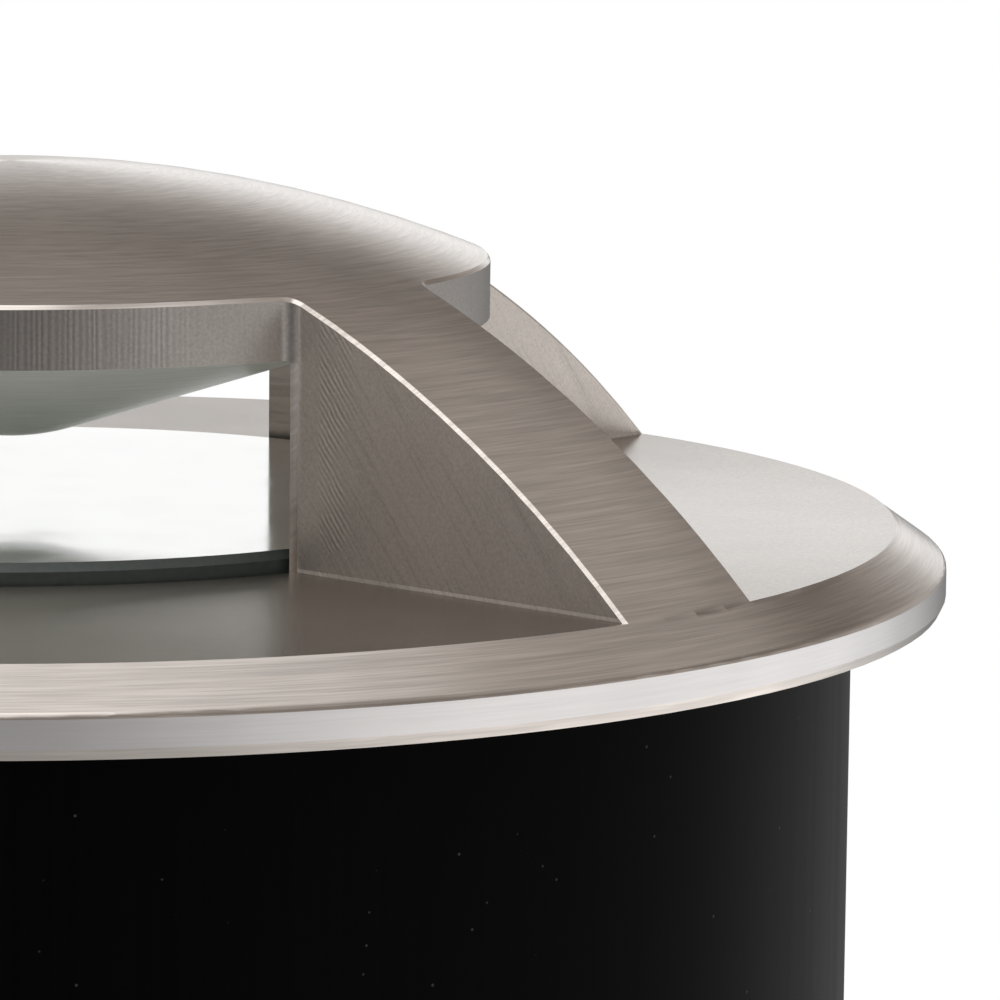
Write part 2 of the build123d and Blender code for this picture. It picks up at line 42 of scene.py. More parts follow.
def add(tree, kind, *inputs, sockets=None, **settings):
    """Adds one shader node. Inputs, by order or by name, are values, sockets or nodes to link."""
    node = tree.nodes.new("ShaderNode" + kind)
    for name, value in settings.items():
        setattr(node, name, value)
    for key, value in [*enumerate(inputs), *(sockets or {}).items()]:
        if isinstance(value, bpy.types.Node):
            value = next(out for out in value.outputs if out.enabled)
        if isinstance(value, bpy.types.NodeSocket):
            tree.links.new(value, node.inputs[key])
        elif value is not None:
            node.inputs[key].default_value = value
    return node


def start(name):
    """A new material, its own add(), and its Object coordinates in millimetres."""
    material = bpy.data.materials.new(name)
    material.use_nodes = True
    material.node_tree.nodes.clear()
    node = partial(add, material.node_tree)
    place = node("TexCoord").outputs["Object"]
    mm = node("VectorMath", place, operation="SCALE", sockets={"Scale": 1 / MM})
    return material, node, mm


def put_on(material, shader, *names):
    """Ends a material with its shader and gives it to CAD nodes."""
    add(material.node_tree, "OutputMaterial", shader)
    for name in names:
        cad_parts[name].material_slots[0].material = material


def from_axis(node, mm):
    """The distance from the axis, and the unit vector outwards."""
    flat = node("VectorMath", mm, (1, 1, 0), operation="MULTIPLY")
    return node("VectorMath", flat, operation="LENGTH"), node("VectorMath", flat, operation="NORMALIZE")


def turned_slope(node, mm, radius, outward):
    """The way down a turned piece's slope, which is radius less height, and the direction across
    its lathe marks, which is the surface normal crossed with the way round the axis."""
    down = node("Math", radius, node("SeparateXYZ", mm).outputs["Z"], operation="SUBTRACT")
    way_round = node("VectorMath", (0, 0, 1), outward, operation="CROSS_PRODUCT")
    normal = node("NewGeometry").outputs["Normal"]
    return down, node("VectorMath", normal, way_round, operation="CROSS_PRODUCT")


def lathe_marks(node, outward, down, pitch, turns):
    """Noise that is pitch wide down the slope and stretched round the axis."""
    step = node("Math", down, 1 / pitch, operation="MULTIPLY")
    along = node("VectorMath", outward, operation="SCALE", sockets={"Scale": turns})
    at = node("VectorMath", along, node("CombineXYZ", 0, 0, step), operation="ADD")
    return node("TexNoise", at, sockets={"Scale": 1.0, "Detail": 2.0, "Roughness": 0.6})


def by_slope(node, none_at, all_at):
    """Mask from 0 to 1 as the upright part of the surface normal goes from none_at to all_at."""
    up = node("SeparateXYZ", node("NewGeometry").outputs["Normal"]).outputs["Z"]
    return node("MapRange", node("Math", up, operation="ABSOLUTE"), none_at, all_at, 0.0, 1.0)


def times(node, first, *others):
    """Multiplies masks."""
    for other in others:
        first = node("Math", first, other, operation="MULTIPLY")
    return first


# Stainless steel as it leaves the lathe and the mill: warm grey, soft stretched highlights. The
# milled faces are told from the turned ones by their slope, height and distance from the axis.
material, node, mm = start("turned_and_milled_stainless")
radius, outward = from_axis(node, mm)
down, across = turned_slope(node, mm, radius, outward)
x, y, z = node("SeparateXYZ", mm).outputs
one_quarter = node("VectorMath", mm, operation="ABSOLUTE")
wall = by_slope(node, 0.12, 0.04)
inside_edge = node("Math", radius, canopy_edge_r, operation="LESS_THAN")
outside_edge = node("Math", radius, canopy_edge_r, operation="GREATER_THAN")
inside_rim = node("Math", radius, flange_wall_r, operation="LESS_THAN")
over_cavity = node("Math", z, canopy_under, operation="GREATER_THAN")
over_flange = node("Math", z, flange_top, operation="GREATER_THAN")
canopy_edge = times(node, wall, inside_edge, over_cavity)
leg_side = times(node, wall, outside_edge, inside_rim, over_flange)
off_leg = node("VectorMath", one_quarter, (diagonal, -diagonal, 0), operation="DOT_PRODUCT")
off_leg = node("Math", node("Math", off_leg, operation="ABSOLUTE"), leg_half, operation="GREATER_THAN")
floor_within = 0.12
at_floor = node("Math", z, window_floor, floor_within, operation="COMPARE")
milled_floor = times(node, by_slope(node, 0.985, 0.997), at_floor, off_leg)
milled = node("Math", node("Math", canopy_edge, leg_side, operation="ADD"), milled_floor, operation="ADD")
turned = node("Math", 1.0, milled, operation="SUBTRACT", use_clamp=True)
on_rim = times(node, wall, node("Math", radius, flange_wall_r, operation="GREATER_THAN"))

# Fine marks of the last cut and coarser ones from the cut before. The rim's own cut is smoother.
fine_pitch = 0.11
coarse_pitch = 0.3
blotch_mm = 6.25
fine = lathe_marks(node, outward, down, fine_pitch, 9.0)
coarse = lathe_marks(node, outward, down, coarse_pitch, 4.5)
marks = node("Math", fine, coarse, operation="ADD")
marks = node("Mix", data_type="FLOAT", sockets={"Factor": times(node, on_rim, 0.8), "A": marks, "B": 1.0})
blotch = node("TexNoise", mm, sockets={"Scale": 1 / blotch_mm, "Detail": 1.0})

# Upright marks of the cutter on the canopy's edge, 0.28 mm apart and strongest in the middle of
# each window
cutter_marks = 540
turn = node("Math", y, x, operation="ARCTAN2")
jitter_at = node("VectorMath", mm, (1.4, 1.4, 0.04), operation="MULTIPLY")
jitter = node("TexNoise", jitter_at, sockets={"Scale": 1.0, "Detail": 2.0})
unsteady = node("Math", node("Math", turn, cutter_marks, operation="MULTIPLY"),
                node("Math", jitter, 9.0, operation="MULTIPLY"), operation="ADD")
upright = node("Math", unsteady, operation="SINE")
window_middle = node("MapRange", node("Math", node("Math", turn, 4.0, operation="MULTIPLY"),
                                      operation="COSINE"), -0.15, 0.4, 0.12, 1.0,
                     interpolation_type="SMOOTHSTEP")
upright = times(node, upright, window_middle, canopy_edge,
                node("MapRange", jitter, 0.35, 0.6, 0.3, 1.0))

# Slanting marks where the cutter leaves the wall of a leg, and long faint scratches beyond. The
# reach is the way out along the leg, and the marks run across the slant.
slash_pitch = 0.42
slashes_start = 25.4
slashes_end = 27.0
slant_per_reach = 1.25
patch_mm = 1 / 0.55
reach = node("VectorMath", one_quarter, (diagonal, diagonal, 0), operation="DOT_PRODUCT")
slant = node("Math", z, node("Math", reach, slant_per_reach, operation="MULTIPLY"), operation="ADD")
patch = node("TexNoise", mm, sockets={"Scale": 1 / patch_mm, "Detail": 3.0})
slashes = node("Math", node("Math", node("Math", slant, 2 * pi / slash_pitch, operation="MULTIPLY"),
                            node("Math", patch, 8.0, operation="MULTIPLY"), operation="ADD"),
               operation="SINE")
band = times(node, node("MapRange", reach, slashes_start, slashes_start + 0.3, 0.0, 1.0),
             node("MapRange", reach, slashes_end, slashes_end + 1.0, 1.0, 0.0),
             node("MapRange", patch, 0.42, 0.6, 0.15, 1.0))
slashes = times(node, slashes, band, leg_side)
scratch_at = node("CombineXYZ", node("Math", slant, 3.0, operation="MULTIPLY"),
                  node("Math", reach, 0.12, operation="MULTIPLY"), 0.0)
scratches = node("TexNoise", scratch_at, sockets={"Scale": 1.0, "Detail": 3.0, "Roughness": 0.7})
scratches = times(node, node("MapRange", scratches, 0.52, 0.66, 0.0, 1.0), leg_side)

# Fine grain on the milled faces, and a few tiny dark pits, drawn out round the axis, in the
# turned ones
grain_mm = 1 / 7
pits_per_radian = 12.0
pits_per_mm_down = 0.9
grain = node("TexNoise", mm, sockets={"Scale": 1 / grain_mm, "Detail": 2.0, "Roughness": 0.6})
pit_round = node("VectorMath", outward, operation="SCALE", sockets={"Scale": pits_per_radian})
pit_down = node("CombineXYZ", 0, 0, node("Math", down, pits_per_mm_down, operation="MULTIPLY"))
pit_at = node("VectorMath", pit_round, pit_down, operation="ADD")
pits = node("TexVoronoi", pit_at, sockets={"Scale": 1.0, "Randomness": 1.0})
kept = node("Math", node("SeparateColor", pits.outputs["Color"]), 0.9, operation="GREATER_THAN")
pit = times(node, node("MapRange", pits.outputs["Distance"], 0.025, 0.045, 1.0, 0.0), turned, kept)

# All of these shade the steel a little. The canopy's edge and the window floors are darkened as
# painted shade, and the rim is painted paler and cooler as a painted reflection of the pale floor
shade = node("MapRange", marks, 0.75, 1.25, 0.83, 1.1)
shade = node("Mix", data_type="FLOAT",
             sockets={"Factor": turned, "A": node("MapRange", grain, 0.3, 0.7, 0.88, 1.08), "B": shade})
shade = times(node, shade, node("MapRange", blotch, 0.3, 0.7, 0.95, 1.04),
              node("MapRange", upright, -1.0, 1.0, 0.82, 1.1),
              node("MapRange", slashes, -1.0, 1.0, 0.7, 1.25),
              node("MapRange", scratches, 0.0, 1.0, 1.0, 0.84),
              # Painted shade: the canopy's edge is darkened to 0.62 of its tone
              node("MapRange", canopy_edge, 0.0, 1.0, 1.0, 0.62),
              # Painted shade: the window floors are darkened to 0.86 of their tone
              node("MapRange", milled_floor, 0.0, 1.0, 1.0, 0.86),
              node("MapRange", pit, 0.0, 1.0, 1.0, 0.25))
# Painted reflection: the rim's steel colour is paler and cooler than the rest of the bar
tone = node("Mix", data_type="RGBA", sockets={
    "Factor": on_rim, "A": linear("#d2cac3"), "B": linear("#dedbda")})
steel = node("Mix", data_type="RGBA", blend_type="MULTIPLY",
             sockets={"Factor": 1.0, "A": tone, "B": shade})

# The marks stand a few thousandths of a millimetre proud. The bevel that is filed along the foot
# of a leg is too small to model, so the relief draws it.
mark_height = 0.0022
foot_bevel = 0.2
relief = node("Math", times(node, marks, turned), times(node, grain, milled_floor, 4.0), operation="ADD")
relief = node("Math", relief, node("Math", upright, 1.2, operation="MULTIPLY"), operation="ADD")
relief = node("Math", relief, node("Math", slashes, 1.8, operation="MULTIPLY"), operation="ADD")
relief = node("Math", relief, scratches, operation="SUBTRACT")
foot = node("MapRange", z, window_floor + 0.03, window_floor + foot_bevel, 1.0, 0.0)
foot = times(node, foot, leg_side, 60.0)
relief = node("Math", relief, foot, operation="ADD")
bump = node("Bump", sockets={"Strength": 1.0, "Distance": mark_height * MM, "Height": relief})

# Highlights stretch across the marks: down the slope where it is turned, level on the canopy's
# edge. The legs' sides are the dullest, and scatter a part of their light as paint does.
dull = node("Math", node("Math", leg_side, 0.1, operation="MULTIPLY"),
            node("MapRange", milled_floor, 0.0, 1.0, 0.24, 0.25), operation="ADD")
level_way = node("VectorMath", (0, 0, 1), node("NewGeometry").outputs["Normal"],
                 operation="CROSS_PRODUCT")
tangent = node("Mix", data_type="VECTOR", sockets={"Factor": canopy_edge, "A": across, "B": level_way})
shader = node("BsdfPrincipled", sockets={
    "Base Color": steel, "Metallic": node("MapRange", leg_side, 0.0, 1.0, 1.0, 0.82),
    "Roughness": dull, "Anisotropic": 0.7, "Tangent": tangent, "Normal": bump})
put_on(material, shader, "cover")

# --- Deflector cone -----------------------------------------------------------------------
# A blunt aluminium cone hangs on its stud under the canopy and throws the light out sideways.
# It is turned and then lacquered pale, satin and smooth, so it brightens at a low angle.

material, node, mm = start("satin_lacquered_aluminium")
radius, outward = from_axis(node, mm)
down, across = turned_slope(node, mm, radius, outward)
feed = 0.2
rings = lathe_marks(node, outward, down, feed, 3.0)
shade = node("MapRange", rings, 0.3, 0.7, 0.9, 1.05)
lacquer = node("Mix", data_type="RGBA", blend_type="MULTIPLY",
               sockets={"Factor": 1.0, "A": linear("#edeeea"), "B": shade})
bump = node("Bump", sockets={"Strength": 1.0, "Distance": 0.002 * MM, "Height": rings})
shader = node("BsdfPrincipled", sockets={
    "Base Color": lacquer, "Metallic": 0.0, "Roughness": 0.22, "Anisotropic": 0.3,
    "Tangent": across, "Normal": bump})
put_on(material, shader, "deflector_cone")

# --- Glass and its gasket -----------------------------------------------------------------
# A stepped disc of toughened glass. Its faces are lightly etched, so it looks milky from above
# and mirrors the surround at a low angle. Its ground edge is green, painted dark as painted shade.
# A black silicone ring seals it to the head.

material, node, mm = start("etched_toughened_glass")
smear_mm = 4.0
grinding_mm = 1 / 3
edge = by_slope(node, 0.95, 0.85)
facing = node("LayerWeight", 0.5).outputs["Facing"]
low_angle = node("MapRange", facing, 0.55, 0.8, 0.0, 0.93, interpolation_type="SMOOTHSTEP")
mirror = times(node, low_angle, node("Math", 1.0, edge, operation="SUBTRACT"))
smear = node("TexNoise", mm, sockets={"Scale": 1 / smear_mm, "Detail": 3.0})
ground = node("TexNoise", mm, sockets={"Scale": 1 / grinding_mm, "Detail": 3.0})
face = node("Mix", data_type="RGBA",
            sockets={"Factor": mirror, "A": linear("#eef6f0"), "B": linear("#eaebe9")})
# The ground edge's green is the glass's own; its darkness is painted shade
shaded_green_edge = node("Mix", data_type="RGBA",
                  sockets={"Factor": ground, "A": linear("#232927"), "B": linear("#3a413e")})
colour = node("Mix", data_type="RGBA", sockets={"Factor": edge, "A": face, "B": shaded_green_edge})
rough = node("Math", node("MapRange", smear, 0.4, 0.7, 0.08, 0.14),
             node("Math", edge, 0.3, operation="MULTIPLY"), operation="ADD")
shader = node("BsdfPrincipled", sockets={
    "Base Color": colour, "Metallic": mirror, "Roughness": rough, "IOR": 1.52,
    "Transmission Weight": node("MapRange", edge, 0.0, 1.0, 0.15, 0.0)})
put_on(material, shader, "glass_lens")

# Silicone rubber, moulded and left dull, with a little dust on it
material, node, mm = start("moulded_silicone")
dust_mm = 0.625
dust = node("TexNoise", mm, sockets={"Scale": 1 / dust_mm, "Detail": 4.0, "Roughness": 0.7})
black = node("Mix", data_type="RGBA", sockets={
    "Factor": node("MapRange", dust, 0.45, 0.75, 0.0, 1.0), "A": linear("#161514"), "B": linear("#2a2927")})
bump = node("Bump", sockets={"Strength": 0.6, "Distance": 0.01 * MM, "Height": dust})
shader = node("BsdfPrincipled", sockets={"Base Color": black, "Roughness": 0.55, "Normal": bump})
put_on(material, shader, "glass_gasket", "glass_pad_ring", "sleeve_grip_ring", "body_seal_ring",
       "lead_grommet", "base_seal_ring", "gland_washer", "gland_seal")

# --- Clamp ring and screws ----------------------------------------------------------------
# A flat ring, cut from aluminium sheet and anodised, presses the glass up against its gasket.
# It and every other joint of the light are held by bright stainless cap screws.

material, node, mm = start("anodised_aluminium")
radius, outward = from_axis(node, mm)
down, across = turned_slope(node, mm, radius, outward)
feed = 0.25
facing_marks = lathe_marks(node, outward, down, feed, 4.0)
satin = node("Mix", data_type="RGBA", sockets={
    "Factor": facing_marks, "A": linear("#a2a4a6"), "B": linear("#c9cacb")})
bump = node("Bump", sockets={"Strength": 0.8, "Distance": 0.002 * MM, "Height": facing_marks})
shader = node("BsdfPrincipled", sockets={
    "Base Color": satin, "Metallic": 1.0, "Roughness": 0.36, "Anisotropic": 0.4,
    "Tangent": across, "Normal": bump})
put_on(material, shader, "glass_clamp_ring")

# Cold formed stainless screws: bright heads with a faint grain from the barrel they tumble in
material, node, mm = start("tumbled_stainless_screws")
dent_mm = 0.2
grain = node("TexNoise", mm, sockets={"Scale": 1 / dent_mm, "Detail": 3.0})
bright = node("Mix", data_type="RGBA", sockets={
    "Factor": grain, "A": linear("#a8a5a1"), "B": linear("#d6d3ce")})
bump = node("Bump", sockets={"Strength": 0.7, "Distance": 0.003 * MM, "Height": grain})
shader = node("BsdfPrincipled", sockets={
    "Base Color": bright, "Metallic": 1.0, "Normal": bump,
    "Roughness": node("MapRange", grain, 0.3, 0.7, 0.18, 0.32)})
put_on(material, shader, "clamp_ring_screws", "cover_screws", "holder_screws", "driver_screws",
       "base_screws")

# --- Lamp body and base cap ---------------------------------------------------------------
# Two aluminium castings make the dry chamber. They are powder coated black, and the powder
# melts into a fine orange peel that breaks up the gloss.

material, node, mm = start("black_powder_coat")
peel_mm = 1 / 1.9
wear_mm = 1 / 0.35
peel = node("TexNoise", mm, sockets={"Scale": 1 / peel_mm, "Detail": 2.0, "Roughness": 0.45})
wear = node("TexNoise", mm, sockets={"Scale": 1 / wear_mm, "Detail": 5.0, "Roughness": 0.7})
coat = node("Mix", data_type="RGBA", sockets={
    "Factor": node("MapRange", wear, 0.5, 0.75, 0.0, 1.0), "A": linear("#111112"), "B": linear("#232322")})
bump = node("Bump", sockets={"Strength": 0.8, "Distance": 0.03 * MM, "Height": peel})
shader = node("BsdfPrincipled", sockets={
    "Base Color": coat, "Normal": bump, "Roughness": node("MapRange", wear, 0.3, 0.7, 0.36, 0.5)})
put_on(material, shader, "lamp_body", "base_cap")

# --- LED engine ---------------------------------------------------------------------------
# A chip on a white board sits on a grey heat pad. A clear lens in a black holder narrows its
# beam on to the cone, and two silicone leads go down to the driver through a rubber grommet.

# Gap filler: soft grey silicone with ceramic grains
material, node, mm = start("filled_silicone_pad")
grain_mm = 0.25
grains = node("TexVoronoi", mm, sockets={"Scale": 1 / grain_mm})
fill = node("Mix", data_type="RGBA", sockets={
    "Factor": grains.outputs["Distance"], "A": linear("#7d838a"), "B": linear("#a9aeb3")})
bump = node("Bump", sockets={"Strength": 0.5, "Distance": 0.01 * MM, "Height": grains.outputs["Distance"]})
shader = node("BsdfPrincipled", sockets={"Base Color": fill, "Roughness": 0.75, "Normal": bump})
put_on(material, shader, "thermal_pad")

# Aluminium core board under white solder mask, with the copper's outline showing through
material, node, mm = start("white_solder_mask")
radius, _ = from_axis(node, mm)
outer_track_r = 19.6
inner_track_r = 10.4
mottle_mm = 1 / 1.2
track = node("Math", node("Math", radius, outer_track_r, 0.7, operation="COMPARE"),
             node("Math", radius, inner_track_r, 0.9, operation="COMPARE"), operation="MAXIMUM")
mottle = node("TexNoise", mm, sockets={"Scale": 1 / mottle_mm, "Detail": 3.0})
white = node("Mix", data_type="RGBA", sockets={
    "Factor": mottle, "A": linear("#dfe1de"), "B": linear("#efefec")})
masked = node("Mix", data_type="RGBA", sockets={
    "Factor": times(node, track, 0.85), "A": white, "B": linear("#cfcabb")})
side = by_slope(node, 0.5, 0.3)
board = node("Mix", data_type="RGBA", sockets={"Factor": side, "A": masked, "B": linear("#a9abac")})
bump = node("Bump", sockets={"Strength": 0.6, "Distance": 0.03 * MM, "Height": track})
shader = node("BsdfPrincipled", sockets={
    "Base Color": board, "Metallic": side, "Roughness": 0.34, "Normal": bump})
put_on(material, shader, "led_board")

# Chip on board: a yellow disc of phosphor gel inside a white dam, on a pale ceramic square
material, node, mm = start("phosphor_and_ceramic")
radius, _ = from_axis(node, mm)
gel_r = 5.0
die_mm = 1.0
cells = node("TexVoronoi", mm, feature="DISTANCE_TO_EDGE",
             sockets={"Scale": 1 / die_mm, "Randomness": 0.15})
gel = node("Mix", data_type="RGBA", sockets={
    "Factor": node("MapRange", cells.outputs["Distance"], 0.0, 0.4, 0.0, 1.0),
    "A": linear("#c99a1c"), "B": linear("#eccb3c")})
disc = node("MapRange", radius, gel_r - 0.1, gel_r + 0.1, 1.0, 0.0)
colour = node("Mix", data_type="RGBA", sockets={"Factor": disc, "A": linear("#ddd9cf"), "B": gel})
bump = node("Bump", sockets={"Strength": 0.5, "Distance": 0.05 * MM, "Height": disc})
shader = node("BsdfPrincipled", sockets={"Base Color": colour, "Roughness": 0.3, "Normal": bump})
put_on(material, shader, "led_chip")

# Optical acrylic, moulded and polished clear, with the faintest flow marks
material, node, mm = start("clear_acrylic")
flow_mm = 1 / 0.3
flow = node("TexNoise", mm, sockets={"Scale": 1 / flow_mm, "Detail": 2.0})
clear = node("Mix", data_type="RGBA", sockets={
    "Factor": flow, "A": linear("#f4f7f7"), "B": linear("#ffffff")})
shader = node("BsdfPrincipled", sockets={
    "Base Color": clear, "Roughness": node("MapRange", flow, 0.3, 0.7, 0.01, 0.04),
    "IOR": 1.49, "Transmission Weight": 1.0})
put_on(material, shader, "collimator_lens")


def moulded_plastic(name, light, dark, roughness, grain_mm, depth_mm, *names):
    """Moulded plastic: the mould's spark grain and slow drifts of shade in one colour."""
    drift_mm = 1 / 0.15
    material, node, mm = start(name)
    grain = node("TexNoise", mm, sockets={"Scale": 1 / grain_mm, "Detail": 2.0})
    drift = node("TexNoise", mm, sockets={"Scale": 1 / drift_mm, "Detail": 3.0})
    shade = node("Math", node("Math", grain, 0.4, operation="MULTIPLY"),
                 node("Math", drift, 0.6, operation="MULTIPLY"), operation="ADD")
    colour = node("Mix", data_type="RGBA", sockets={
        "Factor": node("MapRange", shade, 0.35, 0.65, 0.0, 1.0), "A": linear(dark), "B": linear(light)})
    bump = node("Bump", sockets={"Strength": 0.7, "Distance": depth_mm * MM, "Height": grain})
    shader = node("BsdfPrincipled", sockets={
        "Base Color": colour, "Normal": bump,
        "Roughness": node("MapRange", drift, 0.3, 0.7, roughness - 0.05, roughness + 0.05)})
    put_on(material, shader, *names)


# Black polycarbonate, and the red and black silicone skins of the two leads
moulded_plastic("spark_grained_polycarbonate", "#1e1e1f", "#121213", 0.42, 0.3, 0.01, "lens_holder")
moulded_plastic("red_silicone_insulation", "#b92b2b", "#9c1f20", 0.5, 0.4, 0.006, "led_lead_positive")
moulded_plastic("black_silicone_insulation", "#262626", "#171717", 0.5, 0.4, 0.006, "led_lead_negative")

# --- Driver -------------------------------------------------------------------------------
# The driver board hangs from four brass standoffs in the chamber. It carries an inductor, two
# capacitors and two chips, and the supply comes in at a green screw terminal.

# Brass standoffs turned from hexagon bar, with the lathe's rings on them
material, node, mm = start("turned_brass")
height = node("SeparateXYZ", mm).outputs["Z"]
feed = 1 / 6
rings = node("TexNoise", node("CombineXYZ", 0, 0, node("Math", height, 1 / feed, operation="MULTIPLY")),
             sockets={"Scale": 1.0, "Detail": 2.0})
brass = node("Mix", data_type="RGBA", sockets={
    "Factor": rings, "A": linear("#b08a45"), "B": linear("#dcb76c")})
bump = node("Bump", sockets={"Strength": 0.8, "Distance": 0.004 * MM, "Height": rings})
shader = node("BsdfPrincipled", sockets={
    "Base Color": brass, "Metallic": 1.0, "Roughness": 0.27, "Normal": bump})
put_on(material, shader, "driver_standoffs")

# Glass epoxy board: green mask over rows of copper 1.75 mm apart, sawn edges of pale glass cloth
material, node, mm = start("green_glass_epoxy")
track_row_mm = 1.75
track_length_mm = 20 / 3
cloth_mm = 1 / 2.2
tracks = node("TexBrick", mm, offset=0.35, sockets={
    "Scale": 0.24, "Mortar Size": 0.05, "Mortar Smooth": 0.2,
    "Brick Width": 0.24 * track_length_mm, "Row Height": 0.24 * track_row_mm,
    "Color1": linear("#1f6a3c"), "Color2": linear("#23764a"), "Mortar": linear("#175231")})
weave = node("TexWave", mm, sockets={"Scale": 1 / cloth_mm, "Distortion": 1.0, "Detail": 1.0})
green = node("Mix", data_type="RGBA", blend_type="MULTIPLY", sockets={
    "Factor": 0.25, "A": tracks.outputs["Color"], "B": weave.outputs["Color"]})
side = by_slope(node, 0.5, 0.3)
board = node("Mix", data_type="RGBA", sockets={"Factor": side, "A": green, "B": linear("#b5ab7c")})
bump = node("Bump", sockets={"Strength": 0.6, "Distance": 0.03 * MM, "Height": tracks.outputs["Fac"]})
shader = node("BsdfPrincipled", sockets={"Base Color": board, "Roughness": 0.33, "Normal": bump})
put_on(material, shader, "driver_board")

# Sintered ferrite with its copper winding, 0.5 mm wire lacquered dark orange, round the waist
material, node, mm = start("ferrite_and_copper_wire")
height = node("SeparateXYZ", mm).outputs["Z"]
waist_z = -44.1
waist_half = 2.3
wire_mm = 0.5
speckle_mm = 0.25
waist = node("Math", height, waist_z, waist_half, operation="COMPARE")
wire = node("Math", node("Math", height, 2 * pi / wire_mm, operation="MULTIPLY"), operation="SINE")
speckle = node("TexNoise", mm, sockets={"Scale": 1 / speckle_mm, "Detail": 4.0})
ferrite = node("Mix", data_type="RGBA", sockets={
    "Factor": speckle, "A": linear("#2c2d2f"), "B": linear("#4b4d50")})
copper = node("Mix", data_type="RGBA", sockets={
    "Factor": node("MapRange", wire, -1.0, 1.0, 0.0, 1.0), "A": linear("#6a3415"), "B": linear("#c67a3c")})
colour = node("Mix", data_type="RGBA", sockets={"Factor": waist, "A": ferrite, "B": copper})
bump = node("Bump", sockets={"Strength": 0.9, "Distance": 0.1 * MM, "Height": times(node, wire, waist)})
shader = node("BsdfPrincipled", sockets={
    "Base Color": colour, "Normal": bump, "Metallic": times(node, waist, 0.6),
    "Roughness": node("MapRange", waist, 0.0, 1.0, 0.65, 0.35)})
put_on(material, shader, "driver_inductor")

# Electrolytic capacitors: a plain black sleeve shrunk over a can, whose end stays bare metal
material, node, mm = start("sleeved_aluminium_can")
height = node("SeparateXYZ", mm).outputs["Z"]
sleeve_end_z = -49.3
grain_mm = 1 / 3
bare = node("MapRange", height, sleeve_end_z - 0.2, sleeve_end_z, 1.0, 0.0)
grain = node("TexNoise", mm, sockets={"Scale": 1 / grain_mm, "Detail": 2.0})
sleeve = node("Mix", data_type="RGBA", sockets={
    "Factor": grain, "A": linear("#1a1b20"), "B": linear("#272831")})
can = node("Mix", data_type="RGBA", sockets={
    "Factor": grain, "A": linear("#b4b5b6"), "B": linear("#cfd0d0")})
colour = node("Mix", data_type="RGBA", sockets={"Factor": bare, "A": sleeve, "B": can})
shader = node("BsdfPrincipled", sockets={
    "Base Color": colour, "Metallic": bare, "Roughness": node("MapRange", grain, 0.3, 0.7, 0.26, 0.36)})
put_on(material, shader, "driver_capacitors")

# Chips in black epoxy, matt from the mould, and a green polyamide terminal
moulded_plastic("moulded_epoxy", "#1f2022", "#141516", 0.6, 0.2, 0.008, "driver_chips")
moulded_plastic("green_polyamide", "#2f9a55", "#257f45", 0.42, 0.5, 0.01, "supply_terminal")

# --- Cable gland and vent -----------------------------------------------------------------
# The gland, its nut and the vent are moulded in black nylon, whose skin is satin and slightly
# uneven where the mould filled.

moulded_plastic("black_nylon", "#1d1d1d", "#121212", 0.44, 0.6, 0.012,
                "gland_body", "gland_nut", "vent_plug")

# --- Buried sleeve ------------------------------------------------------------------------
# The tube that stays in the ground is extruded in black polypropylene. Its skin is smooth and
# satin, with faint draw lines along it and a few specks of dust.

material, node, mm = start("extruded_polypropylene")
line_mm = 0.625
line_length_mm = 50.0
speck_spacing_mm = 1 / 0.7
lines_at = node("VectorMath", mm, (1 / line_mm, 1 / line_mm, 1 / line_length_mm), operation="MULTIPLY")
draw_lines = node("TexNoise", lines_at, sockets={"Scale": 1.0, "Detail": 3.0})
dust = node("TexVoronoi", mm, sockets={"Scale": 1 / speck_spacing_mm, "Randomness": 1.0})
speck = node("MapRange", dust.outputs["Distance"], 0.03, 0.06, 1.0, 0.0)
skin = node("Mix", data_type="RGBA", sockets={
    "Factor": draw_lines, "A": linear("#030303"), "B": linear("#060606")})
colour = node("Mix", data_type="RGBA", sockets={
    "Factor": times(node, speck, 0.35), "A": skin, "B": linear("#5a5856")})
bump = node("Bump", sockets={"Strength": 0.4, "Distance": 0.004 * MM, "Height": draw_lines})
shader = node("BsdfPrincipled", sockets={
    "Base Color": colour, "Normal": bump, "IOR": 1.2, "Specular IOR Level": 0.07,
    "Roughness": node("MapRange", draw_lines, 0.3, 0.7, 0.2, 0.26)})
put_on(material, shader, "ground_sleeve")

# --- Studio -------------------------------------------------------------------------------
# A plain pale floor and a soft box overhead. The surround is white behind the object and dims
# higher up and towards the camera, as in a room with one window, and the metal mirrors that.

floor_z = -100.0 * MM
floor_half = 8.0
bright_turn = radians(-5)
bright_side = (cos(bright_turn), sin(bright_turn), 0)
shadow_reach = 150.0
white_from = 450.0

# A pale matt floor that takes the object's shadow. Farther out it is white to the camera, and
# what metal mirrors of it is brightest on the right and dimmer behind and far away.
material, node, mm = start("pale_floor")
away = node("VectorMath", mm, operation="LENGTH")
toward = node("VectorMath", mm, operation="NORMALIZE")
far = node("MapRange", away, shadow_reach, white_from, 0.0, 1.0, interpolation_type="SMOOTHSTEP")
to_the_right = node("VectorMath", toward, bright_side, operation="DOT_PRODUCT")
to_the_back = node("SeparateXYZ", toward).outputs["Y"]
mirrored_near = node("MapRange", to_the_right, 0.2, 0.95, 0.5, 1.5, interpolation_type="SMOOTHSTEP")
mirrored_near = times(node, mirrored_near, node("MapRange", to_the_back, 0.4, 0.9, 1.0, 0.4))
mirrored_far = node("MapRange", node("Math", to_the_right, operation="ABSOLUTE"), 0.1, 0.7, 0.2, 0.6,
                    interpolation_type="SMOOTHSTEP")
mirrored = node("Mix", data_type="FLOAT", sockets={
    "Factor": node("MapRange", away, 550.0, 1000.0, 0.0, 1.0), "A": mirrored_near, "B": mirrored_far})
path = node("LightPath")
